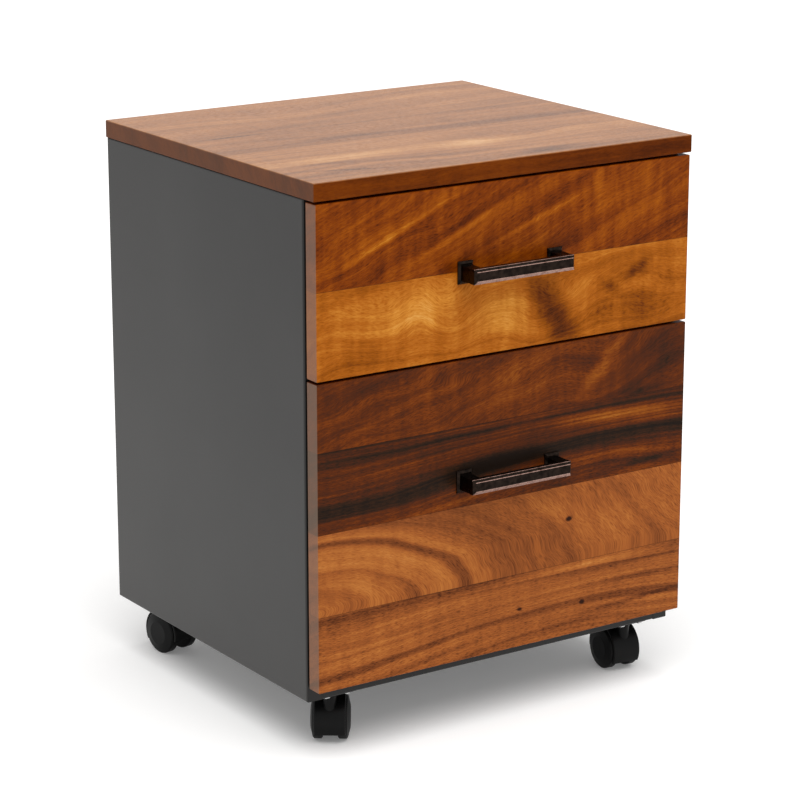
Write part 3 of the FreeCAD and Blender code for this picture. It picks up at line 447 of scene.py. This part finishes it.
# Cast bar pulls, oil-rubbed bronze: brown-black, with copper rubbed bright along the edges
pullShape = {"centres": 95.25, "postWidth": 11.0, "footWidth": 15.5, "footHeight": 20.0, "footThickness": 3.0,
             "footBevel": 1.8, "barHeight": 13.4, "barDepth": 7.5, "barBevel": 2.2,
             "barUnderBevel": 2.9, "rubbedWidth": 0.35}
patinaLook = {"size": 4, "roughnessSpread": 0.2, "castGrain": 0.5, "grainBump": 0.15, "grainDepth": 0.1}


def rubbedBronze(name, darkHex, brightHex, low, high, roughness):
    material, tree, shader = newMaterial(name, {"Metallic": 1.0})
    spot = addNode(tree, "ShaderNodeTexCoord").outputs["Object"]
    patina = addNoise(tree, spot, 1 / (patinaLook["size"] * mm), detail=4.0)
    colour = addNode(tree, "ShaderNodeValToRGB", {0: patina}, [
        (low, linear(darkHex)), (high, linear(brightHex))]).outputs[0]
    tree.links.new(colour, shader.inputs["Base Color"])
    grain = addNoise(tree, spot, 1 / (patinaLook["castGrain"] * mm), detail=2.0)
    addBump(tree, shader, grain, patinaLook["grainBump"], patinaLook["grainDepth"])
    spread = patinaLook["roughnessSpread"]
    tree.links.new(addMath(tree, "MULTIPLY_ADD", patina, spread, roughness - spread / 2), shader.inputs["Roughness"])
    return material


bronze = rubbedBronze("oilRubbedBronze", "#17120F", "#2B221D", low=0.35, high=0.75, roughness=0.3)
copper = rubbedBronze("rubbedCopperEdge", "#6E4E42", "#A4857A", low=0.25, high=0.55, roughness=0.26)


def makePull(drawer):
    low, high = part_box(f"{drawer}_pull")
    size = {name: value * mm for name, value in pullShape.items()}
    middle, back, footFace = (low.z + high.z) / 2, low.y + size["barDepth"], high.y - size["footThickness"]
    outer, inner = (size["centres"] + size["postWidth"]) / 2, (size["centres"] - size["postWidth"]) / 2
    closeBy = 0.001 * mm
    flat = 0.3  # two faces that turn less than this, in radians, have no arris between them
    bm = bmesh.new()
    for vert in bmesh.ops.create_cube(bm, size=1.0)["verts"]:
        vert.co = (2 * outer * vert.co.x, (low.y + back) / 2 + size["barDepth"] * vert.co.y,
                   middle + size["barHeight"] * vert.co.z)

    def frontEdges():  # round the bar's front face, the lower edge last
        bm.normal_update()
        front = min(bm.faces, key=lambda face: face.calc_center_median().y)
        return sorted(front.edges, key=lambda edge: -sum(vert.co.z for vert in edge.verts))

    bmesh.ops.bevel(bm, geom=frontEdges()[:-1], offset=size["barBevel"], segments=1, affect="EDGES")
    bmesh.ops.bevel(bm, geom=frontEdges()[-1:], offset=size["barUnderBevel"], segments=1, affect="EDGES", material=1)
    bm.normal_update()
    rubbed = [edge for edge in bm.edges if edge.calc_face_angle() > flat
              and abs(edge.verts[0].co.x - edge.verts[1].co.x) > size["centres"] / 2]
    bmesh.ops.bevel(bm, geom=rubbed, offset=size["rubbedWidth"], segments=2, affect="EDGES", material=1)
    bmesh.ops.remove_doubles(bm, verts=bm.verts, dist=closeBy)  # the bevels close to points at the lower corners
    for x in (-inner, inner):
        bmesh.ops.bisect_plane(bm, geom=[*bm.verts, *bm.edges, *bm.faces], plane_co=(x, 0, 0), plane_no=(1, 0, 0))
    roots = [face for face in bm.faces if all(vert.co.y > back - closeBy for vert in face.verts)
             and abs(face.calc_center_median().x) > inner]
    lip = 2 * size["footBevel"]
    stations = ((footFace, size["postWidth"], size["barHeight"]),  # a post, then its foot
                (footFace, size["footWidth"] - lip, size["footHeight"] - lip),
                (footFace + size["footBevel"], size["footWidth"], size["footHeight"]),
                (high.y, size["footWidth"], size["footHeight"]))
    for end in roots:
        x = math.copysign(size["centres"] / 2, end.calc_center_median().x)
        for y, width, height in stations:
            end = bmesh.ops.extrude_discrete_faces(bm, faces=[end])["faces"][0]
            for vert in end.verts:
                vert.co = (x + math.copysign(width / 2, vert.co.x - x), y,
                           middle + math.copysign(height / 2, vert.co.z - middle))
    bmesh.ops.recalc_face_normals(bm, faces=bm.faces)
    mesh = bpy.data.meshes.new(f"{drawer}_barPull")
    bm.to_mesh(mesh)
    bm.free()
    mesh.materials.append(bronze)
    mesh.materials.append(copper)
    piece = bpy.data.objects.new(f"{drawer}_barPull", mesh)
    bpy.context.scene.collection.objects.link(piece)
    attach(piece, f"{drawer}_drawer")
    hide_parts(f"{drawer}_pull")


for drawer in ("upper", "lower"):
    makePull(drawer)
print("pulls")


def solidBoxes(name):  # the lowest and highest corner of each solid in a CAD node
    bm = bmesh.new()
    bm.from_mesh(nodes[name].data)
    bmesh.ops.remove_doubles(bm, verts=bm.verts, dist=0.001 * mm)
    seen, boxes = set(), []
    for first in bm.verts:  # in the mesh's order, so that each run gives the same list
        if first in seen:
            continue
        solid, growing = {first}, [first]
        while growing:
            joined = {vert for edge in growing.pop().link_edges for vert in edge.verts} - solid
            solid |= joined
            growing += joined
        seen |= solid
        boxes.append([Vector([pick(vert.co[i] for vert in solid) for i in range(3)]) for pick in (min, max)])
    bm.free()
    return boxes


def newTree(name, inputs):
    tree = bpy.data.node_groups.new(name, "GeometryNodeTree")
    tree.interface.new_socket("Geometry", in_out="INPUT", socket_type="NodeSocketGeometry")
    for label, kind in inputs.items():
        tree.interface.new_socket(label, in_out="INPUT", socket_type="NodeSocket" + kind)
    tree.interface.new_socket("Geometry", in_out="OUTPUT", socket_type="NodeSocketGeometry")
    return tree, addNode(tree, "NodeGroupInput").outputs


def finishTree(tree, shape, given):  # on each point, its top along Facing; then one plain mesh
    creaseAngle = 0.6  # radians
    turn = addNode(tree, "FunctionNodeAlignRotationToVector", {"Vector": given["Facing"]}, axis="Z").outputs[0]
    placed = addNode(tree, "GeometryNodeInstanceOnPoints", {
        "Points": given["Geometry"], "Instance": shape, "Rotation": turn}).outputs[0]
    plain = addNode(tree, "GeometryNodeRealizeInstances", {0: placed}).outputs[0]
    angle = addNode(tree, "GeometryNodeInputMeshEdgeAngle").outputs[0]
    sharp = addNode(tree, "FunctionNodeCompare", {0: angle, 1: creaseAngle}, operation="GREATER_THAN").outputs[0]
    smooth = addNode(tree, "GeometryNodeSetShadeSmooth", {0: plain}).outputs[0]
    creased = addNode(tree, "GeometryNodeSetShadeSmooth", {0: smooth, 1: sharp, 2: False}, domain="EDGE").outputs[0]
    coloured = addNode(tree, "GeometryNodeSetMaterial", {0: creased, "Material": given["Material"]}).outputs[0]
    addNode(tree, "NodeGroupOutput", {0: coloured})


def addMoved(tree, shape, height):  # up its own axis
    place = addNode(tree, "ShaderNodeCombineXYZ", {2: height}).outputs[0]
    return addNode(tree, "GeometryNodeTransform", {0: shape, "Translation": place}).outputs[0]


# Pan-head screws with a cross recess. The tree builds one, head up, and puts it on every point. The crown runs a
# little way into the rim and the shank into the head, and one slot is shallower, so no faces coincide.
screwShape = {"headRadius": 3.8, "headHeight": 2.0, "shankRadius": 1.8, "pullShankRadius": 2.0,
              "recessWidth": 1.0, "recessSpan": 4.6, "recessDepth": 1.1}
screwShares = {"rim": 0.5, "crownTop": 0.74, "crownBase": 0.995, "crownDepth": 1.02,
               "shankInHead": 0.25, "crossSlot": 0.97}
roundSides = {"head": 32, "shank": 20}


def screwTree():
    tree, given = newTree("panHeadScrews", {
        "Head Radius": "Float", "Head Height": "Float", "Shank Radius": "Float", "Shank Length": "Float",
        "Recess Width": "Float", "Recess Span": "Float", "Recess Depth": "Float", "Facing": "Vector",
        "Material": "Material"})
    rimHeight = addMath(tree, "MULTIPLY", given["Head Height"], screwShares["rim"])
    crownDepth = addMath(tree, "MULTIPLY", rimHeight, screwShares["crownDepth"])
    crown = addNode(tree, "GeometryNodeMeshCone", {  # stands on its base
        "Vertices": roundSides["head"], "Depth": crownDepth,
        "Radius Top": addMath(tree, "MULTIPLY", given["Head Radius"], screwShares["crownTop"]),
        "Radius Bottom": addMath(tree, "MULTIPLY", given["Head Radius"], screwShares["crownBase"])}).outputs[0]
    rim = addNode(tree, "GeometryNodeMeshCylinder", {
        "Vertices": roundSides["head"], "Radius": given["Head Radius"], "Depth": rimHeight}).outputs[0]
    inHead = screwShares["shankInHead"]
    shank = addNode(tree, "GeometryNodeMeshCylinder", {
        "Vertices": roundSides["shank"], "Radius": given["Shank Radius"],
        "Depth": addMath(tree, "MULTIPLY_ADD", given["Head Height"], inHead, given["Shank Length"])}).outputs[0]
    halfShank = addMath(tree, "MULTIPLY", given["Shank Length"], -0.5)
    whole = addNode(tree, "GeometryNodeMeshBoolean", {
        1: addMoved(tree, crown, addMath(tree, "MULTIPLY", crownDepth, -1.0))}, operation="UNION", solver="EXACT")
    tree.links.new(addMoved(tree, rim, addMath(tree, "MULTIPLY", rimHeight, -1.5)), whole.inputs[1])
    shankDrop = addMath(tree, "MULTIPLY_ADD", given["Head Height"], inHead / 2 - 1, halfShank)
    tree.links.new(addMoved(tree, shank, shankDrop), whole.inputs[1])
    slotSize = addNode(tree, "ShaderNodeCombineXYZ", {
        0: given["Recess Span"], 1: given["Recess Width"],
        2: addMath(tree, "MULTIPLY", given["Recess Depth"], 2.0)}).outputs[0]
    slotShape = addNode(tree, "GeometryNodeMeshCube", {"Size": slotSize}).outputs[0]
    crossSlot = addNode(tree, "GeometryNodeTransform", {
        0: slotShape, "Rotation": (0, 0, math.pi / 2), "Scale": (1, 1, screwShares["crossSlot"])}).outputs[0]
    cut = addNode(tree, "GeometryNodeMeshBoolean", {0: whole.outputs[0], 1: slotShape},
                  operation="DIFFERENCE", solver="EXACT")
    tree.links.new(crossSlot, cut.inputs[1])
    finishTree(tree, cut.outputs[0], given)
    return tree


def domeTree():  # the upper half of a flattened ball
    tree, given = newTree("domedBumpers", {
        "Radius": "Float", "Thickness": "Float", "Facing": "Vector", "Material": "Material"})
    ball = addNode(tree, "GeometryNodeMeshUVSphere", {"Segments": 32, "Rings": 24, "Radius": 1.0}).outputs[0]
    stretch = addNode(tree, "ShaderNodeCombineXYZ", {
        0: given["Radius"], 1: given["Radius"], 2: given["Thickness"]}).outputs[0]
    button = addNode(tree, "GeometryNodeTransform", {0: ball, "Scale": stretch}).outputs[0]
    blockSize = 20 * mm
    block = addNode(tree, "GeometryNodeMeshCube", {"Size": (blockSize, blockSize, blockSize)}).outputs[0]
    below = addMoved(tree, block, -blockSize / 2)
    dome = addNode(tree, "GeometryNodeMeshBoolean", {0: button, 1: below},
                   operation="DIFFERENCE", solver="EXACT").outputs[0]
    finishTree(tree, dome, given)
    return tree


def placeOnPoints(name, points, tree, settings, body, cadNode):
    seed = bpy.data.meshes.new(name + "_points")
    seed.from_pydata(points, [], [])
    seeds = bpy.data.objects.new(name + "_points", seed)
    bpy.context.scene.collection.objects.link(seeds)
    modifier = seeds.modifiers.new("tree", "NODES")
    modifier.node_group = tree
    for item in tree.interface.items_tree:
        if item.in_out == "INPUT" and item.name in settings:
            modifier[item.identifier] = settings[item.name]
    evaluated = seeds.evaluated_get(bpy.context.evaluated_depsgraph_get())
    mesh = bpy.data.meshes.new_from_object(evaluated)
    mesh.name = name
    bpy.data.objects.remove(seeds)
    piece = bpy.data.objects.new(name, mesh)
    bpy.context.scene.collection.objects.link(piece)
    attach(piece, body)
    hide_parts(cadNode)


screws = screwTree()
screwSize = {name: value * mm for name, value in screwShape.items()}
screwSets = [("top_screws", "cabinet", (0, 0, -1)), ("caster_plate_screws", "cabinet", (0, 0, -1))]
for drawer in ("upper", "lower"):
    screwSets += [(f"{drawer}_front_screws", f"{drawer}_drawer", (0, 1, 0)),
                  (f"{drawer}_pull_screws", f"{drawer}_drawer", (0, 1, 0))]
for cadNode, body, facing in screwSets:
    boxes = solidBoxes(cadNode)
    axis = 1 if facing[1] else 2
    outer = 1 if facing[axis] > 0 else 0  # the corner of a box that its head's top lies at
    points = []
    for box in boxes:
        point = (box[0] + box[1]) / 2
        point[axis] = box[outer][axis]
        points.append(point)
    placeOnPoints(cadNode + "_cross", points, screws, {
        "Head Radius": screwSize["headRadius"], "Head Height": screwSize["headHeight"],
        "Shank Radius": screwSize["pullShankRadius" if "pull" in cadNode else "shankRadius"],
        "Shank Length": boxes[0][1][axis] - boxes[0][0][axis] - screwSize["headHeight"],
        "Recess Width": screwSize["recessWidth"], "Recess Span": screwSize["recessSpan"],
        "Recess Depth": screwSize["recessDepth"], "Facing": facing, "Material": steel}, body, cadNode)
print("screws")

bumperBoxes = solidBoxes("front_bumpers")
bumperPoints = [((low.x + high.x) / 2, high.y, (low.z + high.z) / 2) for low, high in bumperBoxes]
bumperSize = bumperBoxes[0][1] - bumperBoxes[0][0]
placeOnPoints("domed_bumpers", bumperPoints, domeTree(), {
    "Radius": bumperSize.x / 2, "Thickness": bumperSize.y, "Facing": (0.0, -1.0, 0.0), "Material": bumperRubber},
    "cabinet", "front_bumpers")
print("bumpers")

# White paper sweep, soft overhead light and the photograph's camera
studio = {"floor": "#F8F7F6", "floorGlow": 0.14, "floorSize": 60.0, "ambient": 0.53, "sun": 2.3, "sunAngle": 60.0,
          "sunFrom": (-0.18, -0.6, 1.7)}
view = {"place": (-1.45952, -2.16552, 0.98767), "forward": (0.53704, 0.79995, -0.26770),
        "lens": 132.967, "sensor": 36.0}

half = studio["floorSize"] / 2
floorMesh = bpy.data.meshes.new("floor")
floorMesh.from_pydata([(-half, -half, 0), (half, -half, 0), (half, half, 0), (-half, half, 0)], [], [(0, 1, 2, 3)])
floor = bpy.data.objects.new("floor", floorMesh)
bpy.context.scene.collection.objects.link(floor)
floorPaper, paperTree, paper = newMaterial("whitePaper", {
    "Base Color": linear(studio["floor"]), "Roughness": 1.0, "Specular IOR Level": 0.0,
    "Emission Color": (1.0, 1.0, 1.0, 1.0)})
floorMesh.materials.append(floorPaper)


def backdropRays(tree):  # 1 for the rays that show the backdrop, 0 for those that light the object
    path = addNode(tree, "ShaderNodeLightPath").outputs
    seen = addMath(tree, "MAXIMUM", path["Is Camera Ray"], path["Is Glossy Ray"])
    return addMath(tree, "MAXIMUM", seen, path["Is Transmission Ray"])


glow = addMath(paperTree, "MULTIPLY", backdropRays(paperTree), studio["floorGlow"])
paperTree.links.new(glow, paper.inputs["Emission Strength"])

world = bpy.data.worlds.new("studio")
bpy.context.scene.world = world
world.use_nodes = True
sky = world.node_tree
level = addNode(sky, "ShaderNodeMix", {0: backdropRays(sky), 2: studio["ambient"], 3: 1.0}).outputs[0]
sky.nodes["Background"].inputs["Color"].default_value = (1.0, 1.0, 1.0, 1.0)
sky.links.new(level, sky.nodes["Background"].inputs["Strength"])

sun = bpy.data.lights.new("overhead", "SUN")
sun.energy = studio["sun"]
sun.angle = math.radians(studio["sunAngle"])
lamp = bpy.data.objects.new("overhead", sun)
lamp.rotation_euler = Vector(studio["sunFrom"]).to_track_quat("Z", "Y").to_euler()
bpy.context.scene.collection.objects.link(lamp)

camera = bpy.data.objects.new("camera", bpy.data.cameras.new("camera"))
camera.data.lens = view["lens"]
camera.data.sensor_width = view["sensor"]
camera.location = view["place"]
camera.rotation_euler = Vector(view["forward"]).to_track_quat("-Z", "Y").to_euler()
bpy.context.scene.collection.objects.link(camera)
bpy.context.scene.camera = camera
bpy.context.scene.view_settings.view_transform = "Standard"
print("studio")
